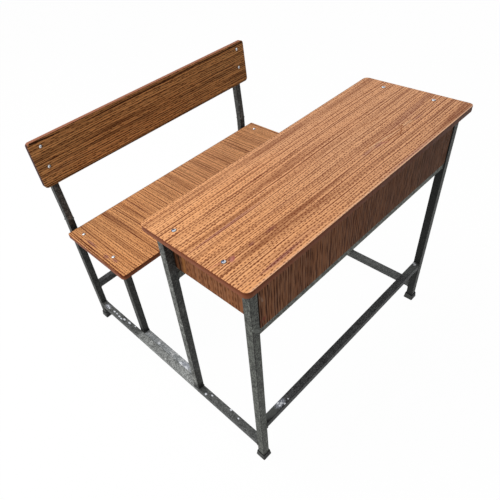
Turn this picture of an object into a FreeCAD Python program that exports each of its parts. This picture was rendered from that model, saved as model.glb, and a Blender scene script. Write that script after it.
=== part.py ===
import FreeCAD, Part
import os
import re
import Sketcher

# A two-seat school desk joined to its bench: a welded frame of square steel tube with laminated
# boards bolted on. +Z is up and X runs along the desk. The front panel faces -Y, and the bench is at
# +Y. The origin is on the floor, at the middle of the whole outline. "left" is the -X side.
# Depths in the formulas below are counted from the front face of the desk's front legs.

doc = FreeCAD.newDocument("school_desk")

# ---------------------------------------------------------------- driving sizes, in millimetres
SIZES = (
    ("tube_side", 22.5, "outside of the square tube"),
    ("tube_wall", 1.5, "wall of the tube"),
    ("tube_round", 1.6, "outer corner radius of the tube"),
    ("frame_length", 844, "outside to outside of the legs along the desk"),
    ("desk_depth", 295, "front face of the front legs to rear face of the rear legs"),
    ("bench_gap", 293, "desk's rear legs to the bench's front legs"),
    ("bench_depth", 263, "front face of the bench's front legs to rear face of its rear legs"),
    ("desk_height", 762, "floor to the top's upper face"),
    ("top_thick", 17, "thickness of the top"),
    ("top_end_overhang", 24, "top beyond the legs at each end"),
    ("top_front_overhang", 20, "top beyond the front legs"),
    ("top_rear_overhang", 19, "top beyond the desk's rear legs"),
    ("top_corner", 15, "corner radius of the top"),
    ("board_round", 1.2, "rounding of the boards' long edges"),
    ("base_rail_top", 77, "floor to the top of the base rails"),
    ("link_gap", 22, "desk's rear leg to the front end of the link rail"),
    ("front_stretcher_top", 181, "floor to the top of the front stretcher"),
    ("bench_stretcher_top", 178, "floor to the top of the bench stretcher"),
    ("shelf_rail_top", 595.5, "floor to the top of the shelf rails"),
    ("shelf_rail_recess", 5, "front shelf rail behind the front legs' front face"),
    ("shelf_thick", 16, "thickness of the shelf board"),
    ("panel_thick", 12, "thickness of the front and side panels"),
    ("panel_recess", 2, "front panel behind the front legs' front face"),
    ("panel_gap", 5, "front panel's end to the leg"),
    ("side_panel_lift", 17, "side panel's lower edge above the shelf rails"),
    ("side_panel_lap", 18, "side panel along the inside of the rear leg"),
    ("side_panel_notch", 1, "clearance of its notch around the top's rear rail"),
    ("seat_height", 459.5, "floor to the seat's upper face"),
    ("seat_thick", 17, "thickness of the seat"),
    ("seat_end_overhang", 22, "seat beyond the legs at each end"),
    ("seat_front_overhang", 85, "seat beyond the bench's front legs"),
    ("seat_rear_gap", 15, "seat's rear edge to the bench's rear legs"),
    ("seat_front_corner", 14, "radius of the seat's front corners"),
    ("seat_rear_corner", 5, "radius of the seat's rear corners"),
    ("seat_rail_inset", 6, "seat's rear rail in from the seat's rear edge"),
    ("upright_foot", 490, "floor to the weld under the backrest uprights"),
    ("back_lean", 4.5, "lean of the backrest, in degrees"),
    ("back_start", 145, "weld to the backrest's lower edge, along the upright"),
    ("back_width", 149, "width of the backrest board"),
    ("back_thick", 17, "thickness of the backrest board"),
    ("back_end_overhang", 26, "backrest beyond the uprights at each end"),
    ("back_corner", 11, "corner radius of the backrest"),
    ("upright_top_gap", 14, "upright's top below the backrest's upper edge"),
    ("bolt_shank", 6, "diameter of the bolts"),
    ("bolt_head", 11.5, "diameter of their domed heads"),
    ("bolt_dome", 3, "height of the domed heads"),
    ("recess_span", 5.6, "cross recess of the heads, from end to end"),
    ("recess_slot", 1.3, "width of its two slots"),
    ("recess_deep", 1.7, "depth of its slots below the dome's top"),
    ("bolt_spare", 3, "bolt beyond its nut"),
    ("bolt_chamfer", 1, "chamfer of the bolts' ends"),
    ("bolt_clearance", 0.25, "radial clearance of the bolt holes"),
    ("nut_across", 10, "nut across its flats"),
    ("nut_thick", 5, "thickness of the nuts"),
    ("nut_clearance", 0.1, "radial clearance in the nuts' thread"),
    ("top_bolt_front", 77, "top's front bolts behind the front legs' front face"),
    ("top_bolt_rear", 64, "top's rear bolts ahead of the desk's rear legs' rear face"),
    ("seat_bolt_front", 10, "seat's front bolts behind the bench's front legs' front face"),
    ("seat_bolt_rear", 61, "seat's rear bolts ahead of the bench's rear legs"),
    ("back_bolt_low", 61, "backrest's lower bolts above its lower edge"),
    ("back_bolt_pitch", 66, "backrest's lower bolts to its upper bolts"),
    ("screw_shank", 4, "diameter of the hidden screws"),
    ("screw_head", 8, "diameter of their pan heads"),
    ("screw_pan", 2.4, "height of their pan heads"),
    ("screw_point", 4, "length of their points"),
    ("screw_clearance", 0.1, "radial clearance of the screw holes"),
    ("screw_bite", 12, "rail screws into the wood above the tube"),
    ("panel_screw_reach", 6, "panel screws beyond the side panel, into the tube"),
    ("rail_screw_inset", 110, "outer screws of the shelf rails to the legs"),
    ("panel_screw_inset", 25, "outer screws of each side panel to its ends"),
    ("foot_base", 32, "width of the foot caps at the floor"),
    ("foot_rim", 28, "width of the foot caps at their rim"),
    ("foot_height", 20, "height of the foot caps"),
    ("foot_sole", 5, "thickness of a foot cap under the leg"),
    ("foot_clearance", 0.1, "cap to tube, each side"),
    ("foot_round", 3, "corner radius of the foot caps"),
)

sheet = doc.addObject("Spreadsheet::Sheet", "Sizes")
for row, (alias, number, meaning) in enumerate(SIZES, start=1):
    sheet.set("A%d" % row, str(number))
    sheet.setAlias("A%d" % row, alias)
    sheet.set("B%d" % row, meaning)
doc.recompute()
ALIASES = {alias for alias, number, meaning in SIZES}


def formula(text):
    """The text, with each size that it names read from the sheet."""
    def read(word):
        return "Sizes." + word.group() if word.group() in ALIASES else word.group()
    return re.sub(r"[a-z_]+", read, str(text))


def size(text):
    """The number that a formula gives now."""
    return float(sheet.evalExpression(formula(text)))


def bind(thing, name, text):
    """Tie one property or constraint of an object to a formula."""
    thing.setExpression(name, formula(text))


# ---------------------------------------------------------------- places that several pieces share
FRAME_HALF = "(frame_length / 2)"
OUTER_LINE = "((frame_length - tube_side) / 2)"
INNER_LINE = "((frame_length - 3 * tube_side) / 2)"
BETWEEN_LEGS = "(frame_length - 2 * tube_side)"
BENCH_FRONT = "(desk_depth + bench_gap)"
BENCH_BACK = "(desk_depth + bench_gap + bench_depth)"
UPRIGHT_FACE = "(desk_depth + bench_gap + bench_depth - tube_side)"
SEAT_REAR = "(desk_depth + bench_gap + bench_depth - tube_side - seat_rear_gap)"
SEAT_FRONT = "(desk_depth + bench_gap - seat_front_overhang)"
TOP_UNDER = "(desk_height - top_thick)"
SEAT_UNDER = "(seat_height - seat_thick)"
SHELF_FRONT = "(panel_recess + panel_thick)"
FRONT_SCREW_LINE = "((shelf_rail_recess + tube_wall + panel_recess + panel_thick) / 2)"
BOLT_TIP_RADIUS = "(bolt_shank / 2 - bolt_chamfer)"
BACK_BOLT_LOW = "(back_start + back_bolt_low)"
BACK_BOLT_HIGH = "(back_start + back_bolt_low + back_bolt_pitch)"
BACK_BOLTS = (BACK_BOLT_LOW, BACK_BOLT_HIGH)
REAR_REACH = ("(%s + %s * sin(back_lean) + (tube_side + nut_thick + bolt_spare) * cos(back_lean)"
              " + %s * sin(back_lean))" % (UPRIGHT_FACE, BACK_BOLT_HIGH, BOLT_TIP_RADIUS))
MIDDLE = "((%s - top_front_overhang) / 2)" % REAR_REACH
SIDES = (("left", "-1"), ("right", "1"))

UP = FreeCAD.Vector(0, 0, 1)
X_LINE = FreeCAD.Vector(1, 0, 0)
Y_LINE = FreeCAD.Vector(0, 1, 0)
ALONG_X = FreeCAD.Rotation(Y_LINE, 90)
ALONG_Y = FreeCAD.Rotation(X_LINE, -90)
ALONG_Z = FreeCAD.Rotation()
pieces = []


# ---------------------------------------------------------------- helpers for bodies and sketches
def new_body(label, turn, x, depth, z):
    """A body at a place given by formulas; its depth counts from the front legs' front face."""
    body = doc.addObject("PartDesign::Body", "Body_" + label)
    body.Label = label
    body.AllowCompound = True
    body.Placement = FreeCAD.Placement(FreeCAD.Vector(), turn)
    bind(body, "Placement.Base.x", x)
    bind(body, "Placement.Base.y", "%s - %s" % (depth, MIDDLE))
    bind(body, "Placement.Base.z", z)
    pieces.append(body)
    return body


def lean_back(body):
    """Turn a body with the backrest, about the foot of the uprights' front face."""
    body.Placement = FreeCAD.Placement(FreeCAD.Vector(), FreeCAD.Rotation(FreeCAD.Vector(1, 0, 0), -1))
    bind(body, "Placement.Rotation.Angle", "-back_lean")


def new_sketch(body, plane, name):
    """A sketch on one of the body's own origin planes."""
    sketch = body.newObject("Sketcher::SketchObject", body.Label + "_" + name)
    for feature in body.Origin.OriginFeatures:
        if feature.Role == plane:
            sketch.AttachmentSupport = [(feature, "")]
    sketch.MapMode = "FlatFace"
    return sketch


def fix(sketch, kind, text, *points):
    """Add a distance, radius or diameter to a sketch and tie it to a formula."""
    number = sketch.addConstraint(Sketcher.Constraint(kind, *points, size(text)))
    bind(sketch, "Constraints[%d]" % number, text)


def outline(sketch, corners):
    """A closed outline of straight lines through corners given as pairs of formulas."""
    places = [FreeCAD.Vector(size(x), size(y), 0) for x, y in corners]
    count = len(places)
    first = sketch.GeometryCount
    for index in range(count):
        line = Part.LineSegment(places[index], places[(index + 1) % count])
        sketch.addGeometry(line, False)
    for index in range(count):
        following = first + (index + 1) % count
        sketch.addConstraint(Sketcher.Constraint("Coincident", first + index, 2, following, 1))
    for index, (x, y) in enumerate(corners):
        fix(sketch, "DistanceX", x, -1, 1, first + index, 1)
        fix(sketch, "DistanceY", y, -1, 1, first + index, 1)


def rectangle(sketch, low_x, high_x, low_y, high_y):
    outline(sketch, ((low_x, low_y), (high_x, low_y), (high_x, high_y), (low_x, high_y)))


def square(sketch, side, set_back="0"):
    """A square around a middle that lies behind the sketch's origin by set_back."""
    half = "(%s) / 2" % side
    rectangle(sketch, "-" + half, half, "%s - %s" % (set_back, half), "%s + %s" % (set_back, half))


def circles(sketch, centres, radius):
    """Round holes at centres given as pairs of formulas."""
    for x, y in centres:
        place = FreeCAD.Vector(size(x), size(y), 0)
        round_hole = Part.Circle(place, FreeCAD.Vector(0, 0, 1), size(radius))
        number = sketch.addGeometry(round_hole, False)
        fix(sketch, "Radius", radius, number)
        fix(sketch, "DistanceX", x, -1, 1, number, 3)
        fix(sketch, "DistanceY", y, -1, 1, number, 3)


def pad(body, sketch, length):
    feature = body.newObject("PartDesign::Pad", sketch.Name + "_pad")
    feature.Profile = sketch
    bind(feature, "Length", length)
    sketch.Visibility = False
    return feature


def cut_through(body, sketch):
    """Cut a sketch right through the body, both ways, and make sure that it took material away."""
    doc.recompute()
    before = body.Shape.Volume
    feature = body.newObject("PartDesign::Pocket", sketch.Name + "_cut")
    feature.Profile = sketch
    feature.Type = "ThroughAll"
    feature.Midplane = True
    doc.recompute()
    if not body.Shape.Volume < before:
        raise RuntimeError(body.Label + ": the cut took nothing away")


def cut_depth(body, sketch, depth, reverse):
    """Cut a sketch to a depth, and make sure that it took material away."""
    doc.recompute()
    before = body.Shape.Volume
    feature = body.newObject("PartDesign::Pocket", sketch.Name + "_cut")
    feature.Profile = sketch
    feature.Reversed = reverse
    bind(feature, "Length", depth)
    doc.recompute()
    if not body.Shape.Volume < before:
        raise RuntimeError(body.Label + ": the cut took nothing away")
    return feature


def along(edge, direction):
    """Whether an edge is straight and parallel to a direction."""
    if not isinstance(edge.Curve, Part.Line):
        return False
    return abs(edge.tangentAt(edge.FirstParameter).dot(direction)) > 0.999


def round_edges(body, radius, wanted):
    """Round the edges of the body's last feature that a test picks out."""
    doc.recompute()
    base = body.Tip
    names = ["Edge%d" % (index + 1) for index, edge in enumerate(base.Shape.Edges) if wanted(edge)]
    feature = body.newObject("PartDesign::Fillet", "%s_round_%d" % (body.Label, len(body.Group)))
    feature.Base = (base, names)
    bind(feature, "Radius", radius)
    doc.recompute()
    return feature


# ---------------------------------------------------------------- the welded frame of square tube
def square_tube(label, turn, start, length, set_back="0"):
    """A straight piece of tube from its start; its middle line is behind the start by set_back."""
    body = new_body(label, turn, *start)
    section = new_sketch(body, "XY_Plane", "section")
    square(section, "tube_side", set_back)
    square(section, "tube_side - 2 * tube_wall", set_back)
    pad(body, section, length)
    outside = size("tube_side / 2") - 0.01
    line_depth = size(set_back)

    def outer_corner(edge):
        point = edge.valueAt(edge.FirstParameter)
        return along(edge, UP) and min(abs(point.x), abs(point.y - line_depth)) > outside
    round_edges(body, "tube_round", outer_corner)
    return body


def drill(body, plane, centres, radius, name="holes"):
    """Round holes right across a body."""
    drilling = new_sketch(body, plane, name)
    circles(drilling, centres, radius)
    cut_through(body, drilling)


BOLT_HOLE = "(bolt_shank / 2 + bolt_clearance)"
SCREW_HOLE = "(screw_shank / 2 + screw_clearance)"
HALF_TUBE = "tube_side / 2"
THREE_PLACES = (-1, 0, 1)
RAIL_SCREW_PITCH = "(%s / 2 - rail_screw_inset)" % BETWEEN_LEGS
PANEL_SCREW_PITCH = "((desk_depth - tube_side - %s) / 2 - panel_screw_inset)" % SHELF_FRONT
PANEL_MIDDLE = "((desk_depth - tube_side + %s) / 2)" % SHELF_FRONT
PANEL_SCREWS = ["%s + %d * %s" % (PANEL_MIDDLE, place, PANEL_SCREW_PITCH) for place in THREE_PLACES]
TOP_BOLTS = ("top_bolt_front", "(desk_depth - top_bolt_rear)")

for side, sign in SIDES:
    outer = "%s * %s" % (sign, OUTER_LINE)
    inner = "%s * %s" % (sign, INNER_LINE)

    # Legs: the outer four stand in foot caps, and the others stand on the base and link rails.
    square_tube("desk_front_leg_" + side, ALONG_Z, (outer, HALF_TUBE, "foot_sole"),
                "%s - foot_sole" % TOP_UNDER)
    square_tube("desk_rear_leg_" + side, ALONG_Z, (outer, "desk_depth - tube_side / 2", "base_rail_top"),
                "%s - base_rail_top" % TOP_UNDER)
    square_tube("bench_front_leg_" + side, ALONG_Z,
                (inner, "%s + tube_side / 2" % BENCH_FRONT, "base_rail_top"),
                "%s - base_rail_top" % SEAT_UNDER)
    square_tube("bench_rear_leg_" + side, ALONG_Z, (outer, "%s - tube_side / 2" % BENCH_BACK, "foot_sole"),
                "upright_foot - foot_sole")

    # Rails from front to back. The link rail lies against the inside of the base rail.
    square_tube("base_rail_" + side, ALONG_Y, (outer, "tube_side", "base_rail_top - tube_side / 2"),
                "%s - 2 * tube_side" % BENCH_BACK)
    square_tube("link_rail_" + side, ALONG_Y,
                (inner, "desk_depth + link_gap", "base_rail_top - tube_side / 2"),
                "bench_gap - link_gap + tube_side")
    seat_rail = square_tube("seat_side_rail_" + side, ALONG_Y,
                            (outer, BENCH_FRONT, "%s - tube_side / 2" % SEAT_UNDER),
                            "bench_depth - tube_side")
    drill(seat_rail, "XZ_Plane",
          (("0", "seat_bolt_front"), ("0", "bench_depth - tube_side - seat_bolt_rear")), BOLT_HOLE)
    top_rail = square_tube("top_side_rail_" + side, ALONG_Y,
                           (outer, "tube_side", "%s - tube_side / 2" % TOP_UNDER),
                           "desk_depth - 2 * tube_side")
    drill(top_rail, "XZ_Plane",
          [("0", "%s - tube_side" % depth) for depth in TOP_BOLTS], BOLT_HOLE)

    # The top rail's inner wall also takes the screws of the side panel.
    drilling = new_sketch(top_rail, "YZ_Plane", "panel_holes")
    circles(drilling, [("0", "%s - tube_side" % depth) for depth in PANEL_SCREWS], SCREW_HOLE)
    cut_depth(top_rail, drilling, "tube_side", reverse=(side == "left"))

    # Backrest upright: it leans, so its foot is cut to stand flat on the leg below.
    upright = square_tube("backrest_upright_" + side, ALONG_Z, (outer, UPRIGHT_FACE, "upright_foot"),
                          "back_start + back_width - upright_top_gap", set_back=HALF_TUBE)
    lean_back(upright)
    foot_cut = new_sketch(upright, "YZ_Plane", "foot_cut")
    rise = "tube_side * tan(back_lean)"
    outline(foot_cut, (("0", "0"), ("2 * tube_side", "0"), ("2 * tube_side", "2 * %s" % rise)))
    cut_through(upright, foot_cut)
    drill(upright, "XZ_Plane", [("0", height) for height in BACK_BOLTS], BOLT_HOLE)

# Rails along the desk, each between a left and a right piece.
LEFT_END = "-(%s - tube_side)" % FRAME_HALF
RAIL_SCREWS = ["%s / 2 + %d * %s" % (BETWEEN_LEGS, place, RAIL_SCREW_PITCH) for place in THREE_PLACES]
for label, line_depth, rail_top in (
        ("front_stretcher", HALF_TUBE, "front_stretcher_top"),
        ("bench_stretcher", "%s - tube_side / 2" % BENCH_BACK, "bench_stretcher_top"),
        ("top_rear_rail", "desk_depth - tube_side / 2", TOP_UNDER),
        ("shelf_front_rail", "shelf_rail_recess + tube_side / 2", "shelf_rail_top"),
        ("shelf_rear_rail", "desk_depth - tube_side / 2", "shelf_rail_top"),
        ("seat_rear_rail", "%s - seat_rail_inset - tube_side / 2" % SEAT_REAR, SEAT_UNDER)):
    rail = square_tube(label, ALONG_X, (LEFT_END, line_depth, "%s - tube_side / 2" % rail_top),
                       BETWEEN_LEGS)
    if label == "shelf_front_rail":
        screw_line = "%s - shelf_rail_recess - tube_side / 2" % FRONT_SCREW_LINE
        drill(rail, "YZ_Plane", [(screw_line, along_rail) for along_rail in RAIL_SCREWS], SCREW_HOLE)
    if label == "shelf_rear_rail":
        drill(rail, "YZ_Plane", [("0", along_rail) for along_rail in RAIL_SCREWS], SCREW_HOLE)
square_tube("seat_front_rail", ALONG_X,
            ("-(%s - 2 * tube_side)" % FRAME_HALF, "%s + tube_side / 2" % BENCH_FRONT,
             "%s - tube_side / 2" % SEAT_UNDER), "frame_length - 4 * tube_side")

# Foot caps: tapered rubber ferrules that the tube stands in.
for side, sign in SIDES:
    for row, line_depth in (("desk", HALF_TUBE), ("bench", "%s - tube_side / 2" % BENCH_BACK)):
        cap = new_body("foot_cap_%s_%s" % (row, side), ALONG_Z,
                       "%s * %s" % (sign, OUTER_LINE), line_depth, "0")
        base = new_sketch(cap, "XY_Plane", "base")
        square(base, "foot_base")
        shell = pad(cap, base, "foot_height")
        bind(shell, "TaperAngle", "-atan((foot_base - foot_rim) / 2 / foot_height)")
        round_edges(cap, "foot_round",
                    lambda edge: abs(edge.Vertexes[0].Z - edge.Vertexes[-1].Z) > size("foot_height / 2"))
        socket = new_sketch(cap, "XY_Plane", "socket")
        square(socket, "tube_side + 2 * foot_clearance")
        bind(socket, "AttachmentOffset.Base.z", "foot_sole")
        cut_depth(cap, socket, "foot_height", reverse=True)


# ---------------------------------------------------------------- boards and panels
def board(label, corner, low_x, high_x, length, height, lean=False):
    """A plain board from its front lower edge, standing or lying; sizes are formulas."""
    body = new_body(label, ALONG_Z, *corner)
    if lean:
        lean_back(body)
    face = new_sketch(body, "XY_Plane", "face")
    rectangle(face, low_x, high_x, "0", length)
    pad(body, face, height)
    return body


def corner_edges(x, y, direction=UP):
    """A test for the straight edges that run in a direction through a corner."""
    def wanted(edge):
        point = edge.valueAt(edge.FirstParameter)
        across = point.z if direction == Y_LINE else point.y
        return along(edge, direction) and abs(abs(point.x) - size(x)) < 0.01 and abs(across - size(y)) < 0.01
    return wanted


def face_edges(direction, low, high):
    """A test for every edge that lies wholly in one of a board's two faces."""
    def wanted(edge):
        ends = [edge.valueAt(edge.FirstParameter), edge.valueAt(edge.LastParameter)]
        heights = [end.dot(direction) for end in ends]
        return any(all(abs(height - level) < 0.01 for height in heights) for level in (low, high))
    return wanted


# The top lies on the frame, with four rounded corners.
TOP_HALF = "(%s + top_end_overhang)" % FRAME_HALF
TOP_DEPTH = "(top_front_overhang + desk_depth + top_rear_overhang)"
top = board("desktop", ("0", "-top_front_overhang", TOP_UNDER), "-" + TOP_HALF, TOP_HALF, TOP_DEPTH,
            "top_thick")
round_edges(top, "top_corner", lambda edge: along(edge, UP))
round_edges(top, "board_round", face_edges(UP, 0, size("top_thick")))
drill(top, "XY_Plane", [("%s * %s" % (sign, OUTER_LINE), "%s + top_front_overhang" % depth)
                        for side, sign in SIDES for depth in TOP_BOLTS],
      BOLT_HOLE)

# The seat has larger corners at its front than at its rear.
SEAT_HALF = "(%s + seat_end_overhang)" % FRAME_HALF
SEAT_DEPTH = "(%s - %s)" % (SEAT_REAR, SEAT_FRONT)
SEAT_BOLTS = ("%s + seat_bolt_front" % BENCH_FRONT, "%s - seat_bolt_rear" % UPRIGHT_FACE)
seat = board("seat_board", ("0", SEAT_FRONT, SEAT_UNDER), "-" + SEAT_HALF, SEAT_HALF, SEAT_DEPTH,
             "seat_thick")
round_edges(seat, "seat_front_corner", corner_edges(SEAT_HALF, "0"))
round_edges(seat, "seat_rear_corner", corner_edges(SEAT_HALF, SEAT_DEPTH))
round_edges(seat, "board_round", face_edges(UP, 0, size("seat_thick")))
drill(seat, "XY_Plane", [("%s * %s" % (sign, OUTER_LINE), "%s - %s" % (depth, SEAT_FRONT))
                         for side, sign in SIDES for depth in SEAT_BOLTS], BOLT_HOLE)

# The backrest is bolted to the front of the uprights and leans with them.
BACK_HALF = "(%s + back_end_overhang)" % FRAME_HALF
backrest = new_body("backrest_board", ALONG_Z, "0", UPRIGHT_FACE, "upright_foot")
lean_back(backrest)
face = new_sketch(backrest, "XZ_Plane", "face")
rectangle(face, "-" + BACK_HALF, BACK_HALF, "back_start", "back_start + back_width")
pad(backrest, face, "back_thick")
round_edges(backrest, "back_corner", lambda edge: along(edge, Y_LINE))
round_edges(backrest, "board_round", face_edges(Y_LINE, -size("back_thick"), 0))
drill(backrest, "XZ_Plane", [("%s * %s" % (sign, OUTER_LINE), height) for side, sign in SIDES
                             for height in BACK_BOLTS], BOLT_HOLE)

# The book box: a front panel on the front shelf rail, two side panels and a shelf board.
FRONT_HALF = "(%s - tube_side - panel_gap)" % FRAME_HALF
front = board("front_panel", ("0", "panel_recess", "shelf_rail_top"), "-" + FRONT_HALF, FRONT_HALF,
              "panel_thick", "%s - shelf_rail_top" % TOP_UNDER)
screw_places = ["%d * %s" % (place, RAIL_SCREW_PITCH) for place in THREE_PLACES]
drilling = new_sketch(front, "XY_Plane", "screw_holes")
circles(drilling, [(x, "%s - panel_recess" % FRONT_SCREW_LINE) for x in screw_places], SCREW_HOLE)
cut_depth(front, drilling, "screw_bite + screw_clearance", reverse=True)

SHELF_HALF = "(%s - tube_side - panel_thick)" % FRAME_HALF
shelf = board("shelf_board", ("0", SHELF_FRONT, "shelf_rail_top"), "-" + SHELF_HALF, SHELF_HALF,
              "desk_depth - %s" % SHELF_FRONT, "shelf_thick")
drilling = new_sketch(shelf, "XY_Plane", "screw_holes")
circles(drilling, [(x, "desk_depth - tube_side / 2 - %s" % SHELF_FRONT) for x in screw_places], SCREW_HOLE)
cut_depth(shelf, drilling, "screw_bite + screw_clearance", reverse=True)

# The side panels lap past the rear legs, with their upper corner notched around the top's rear rail.
SIDE_PANEL_FOOT = "(shelf_rail_top + side_panel_lift)"
SIDE_PANEL_HIGH = "(%s - %s)" % (TOP_UNDER, SIDE_PANEL_FOOT)
TO_REAR_LEG = "(desk_depth - tube_side - %s)" % SHELF_FRONT
PANEL_SCREW_HEIGHT = "(%s - tube_side / 2)" % TOP_UNDER
for side, sign in SIDES:
    low_x, high_x = ("0", "panel_thick") if side == "left" else ("-panel_thick", "0")
    panel = board("side_panel_" + side, ("%s * (%s - tube_side)" % (sign, FRAME_HALF), SHELF_FRONT,
                                         SIDE_PANEL_FOOT), low_x, high_x,
                  "%s + side_panel_lap" % TO_REAR_LEG, SIDE_PANEL_HIGH)
    notch = new_sketch(panel, "YZ_Plane", "notch")
    rectangle(notch, "%s - side_panel_notch" % TO_REAR_LEG, "%s + 2 * side_panel_lap" % TO_REAR_LEG,
              "%s - tube_side - side_panel_notch" % SIDE_PANEL_HIGH, "%s + tube_side" % SIDE_PANEL_HIGH)
    cut_through(panel, notch)
    drill(panel, "YZ_Plane", [("%s - %s" % (depth, SHELF_FRONT),
                               "%s - %s" % (PANEL_SCREW_HEIGHT, SIDE_PANEL_FOOT))
                              for depth in PANEL_SCREWS], SCREW_HOLE)


# ---------------------------------------------------------------- bolts, nuts and screws
def origin_axis(body, role):
    for feature in body.Origin.OriginFeatures:
        if feature.Role == role:
            return feature
    raise RuntimeError(role + " isn't an axis of the body")


def repeat(body, features, steps):
    """Repeat features along the body's own axes: each step is (axis, count, whole length)."""
    patterns = []
    several = body.newObject("PartDesign::MultiTransform", body.Label + "_group")
    several.Originals = features
    for number, (role, count, length) in enumerate(steps):
        pattern = body.newObject("PartDesign::LinearPattern", "%s_row_%d" % (body.Label, number))
        pattern.Direction = (origin_axis(body, role), [""])
        pattern.Occurrences = count
        bind(pattern, "Length", length)
        patterns.append(pattern)
    several.Transformations = patterns
    body.Tip = several


def turned_piece(body, profile, name):
    """Turn a half outline in the XZ plane, given as pairs of formulas, about the body's Z axis."""
    sketch = new_sketch(body, "XZ_Plane", name)
    outline(sketch, profile)
    feature = body.newObject("PartDesign::Revolution", sketch.Name + "_turned")
    feature.Profile = sketch
    feature.ReferenceAxis = (sketch, ["V_Axis"])
    feature.Angle = 360
    sketch.Visibility = False
    return feature


# The dome of a bolt head, from its top to its rim: shares of its radius and of its height.
DOME = ((0, 1), (0.32, 0.95), (0.6, 0.78), (0.82, 0.5), (1, 0.18), (1, 0))


def bolt_outline(reach):
    """Domed head above the board and a shank with a chamfered end, reach below it."""
    head = [("%s * bolt_head / 2" % out, "%s * bolt_dome" % up) for out, up in DOME]
    shank = [("bolt_shank / 2", "0"), ("bolt_shank / 2", "-(%s - bolt_chamfer)" % reach),
             (BOLT_TIP_RADIUS, "-(%s)" % reach), ("0", "-(%s)" % reach)]
    return head + shank


def screw_outline(reach):
    """Pan head and a shank that ends in a point, reach below the head."""
    return (("0", "screw_pan"), ("screw_head * 0.4", "screw_pan * 0.8"),
            ("screw_head / 2", "screw_pan / 4"), ("screw_head / 2", "0"), ("screw_shank / 2", "0"),
            ("screw_shank / 2", "-(%s - screw_point)" % reach), ("0", "-(%s)" % reach))


def cross_recess(body):
    """The cross recess of a domed head, cut down from its top."""
    sketch = new_sketch(body, "XY_Plane", "recess")
    bind(sketch, "AttachmentOffset.Base.z", "bolt_dome")
    tip, flank = "recess_span / 2", "recess_slot / 2"
    outline(sketch, ((tip, "-" + flank), (tip, flank), (flank, flank), (flank, tip), ("-" + flank, tip),
                     ("-" + flank, flank), ("-" + tip, flank), ("-" + tip, "-" + flank),
                     ("-" + flank, "-" + flank), ("-" + flank, "-" + tip), (flank, "-" + tip),
                     (flank, "-" + flank)))
    return cut_depth(body, sketch, "recess_deep", reverse=False)


def fastener_group(label, turn, start, profile, steps, angle=None, recess=False):
    """Like fasteners in one node: the first one at start, repeated along the body's axes."""
    body = new_body(label, turn, *start)
    if angle:
        bind(body, "Placement.Rotation.Angle", angle)
    features = [turned_piece(body, profile, "profile")]
    if recess:
        features.append(cross_recess(body))
    repeat(body, features, steps)


def nut_group(label, turn, start, steps, angle=None):
    """Hexagon nuts under their tubes, in one node."""
    body = new_body(label, turn, *start)
    if angle:
        bind(body, "Placement.Rotation.Angle", angle)
    sketch = new_sketch(body, "XY_Plane", "hexagon")
    corners = [("nut_across / sqrt(3) * cos(%d)" % turn_angle, "nut_across / sqrt(3) * sin(%d)" % turn_angle)
               for turn_angle in range(0, 360, 60)]
    outline(sketch, corners)
    circles(sketch, (("0", "0"),), "bolt_shank / 2 + nut_clearance")
    feature = pad(body, sketch, "nut_thick")
    feature.Reversed = True
    repeat(body, [feature], steps)


ACROSS = ("X_Axis", len(SIDES), "frame_length - tube_side")
LEFT_LINE = "-1 * %s" % OUTER_LINE
TOP_STEPS = (ACROSS, ("Y_Axis", len(TOP_BOLTS), "%s - %s" % (TOP_BOLTS[1], TOP_BOLTS[0])))
SEAT_STEPS = (ACROSS, ("Y_Axis", len(SEAT_BOLTS), "%s - (%s)" % (SEAT_BOLTS[1], SEAT_BOLTS[0])))
BACK_STEPS = (ACROSS, ("Y_Axis", len(BACK_BOLTS), "back_bolt_pitch"))
UNDER_NUT = "tube_side + nut_thick + bolt_spare"
fastener_group("desktop_bolts", ALONG_Z, (LEFT_LINE, TOP_BOLTS[0], "desk_height"),
               bolt_outline("(top_thick + %s)" % UNDER_NUT), TOP_STEPS, recess=True)
nut_group("desktop_nuts", ALONG_Z, (LEFT_LINE, TOP_BOLTS[0], "%s - tube_side" % TOP_UNDER), TOP_STEPS)
fastener_group("seat_bolts", ALONG_Z, (LEFT_LINE, SEAT_BOLTS[0], "seat_height"),
               bolt_outline("(seat_thick + %s)" % UNDER_NUT), SEAT_STEPS, recess=True)
nut_group("seat_nuts", ALONG_Z, (LEFT_LINE, SEAT_BOLTS[0], "%s - tube_side" % SEAT_UNDER), SEAT_STEPS)

# The backrest's bolts lie square to the leaning board, with their nuts behind the uprights.
SQUARE_TO_BACK = FreeCAD.Rotation(X_LINE, 80)
fastener_group("backrest_bolts", SQUARE_TO_BACK,
               (LEFT_LINE,
                "%s + %s * sin(back_lean) - back_thick * cos(back_lean)" % (UPRIGHT_FACE, BACK_BOLT_LOW),
                "upright_foot + %s * cos(back_lean) + back_thick * sin(back_lean)" % BACK_BOLT_LOW),
               bolt_outline("(back_thick + %s)" % UNDER_NUT), BACK_STEPS, "90 - back_lean", recess=True)
nut_group("backrest_nuts", SQUARE_TO_BACK,
          (LEFT_LINE,
           "%s + %s * sin(back_lean) + tube_side * cos(back_lean)" % (UPRIGHT_FACE, BACK_BOLT_LOW),
           "upright_foot + %s * cos(back_lean) - tube_side * sin(back_lean)" % BACK_BOLT_LOW),
          BACK_STEPS, "90 - back_lean")

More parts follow.
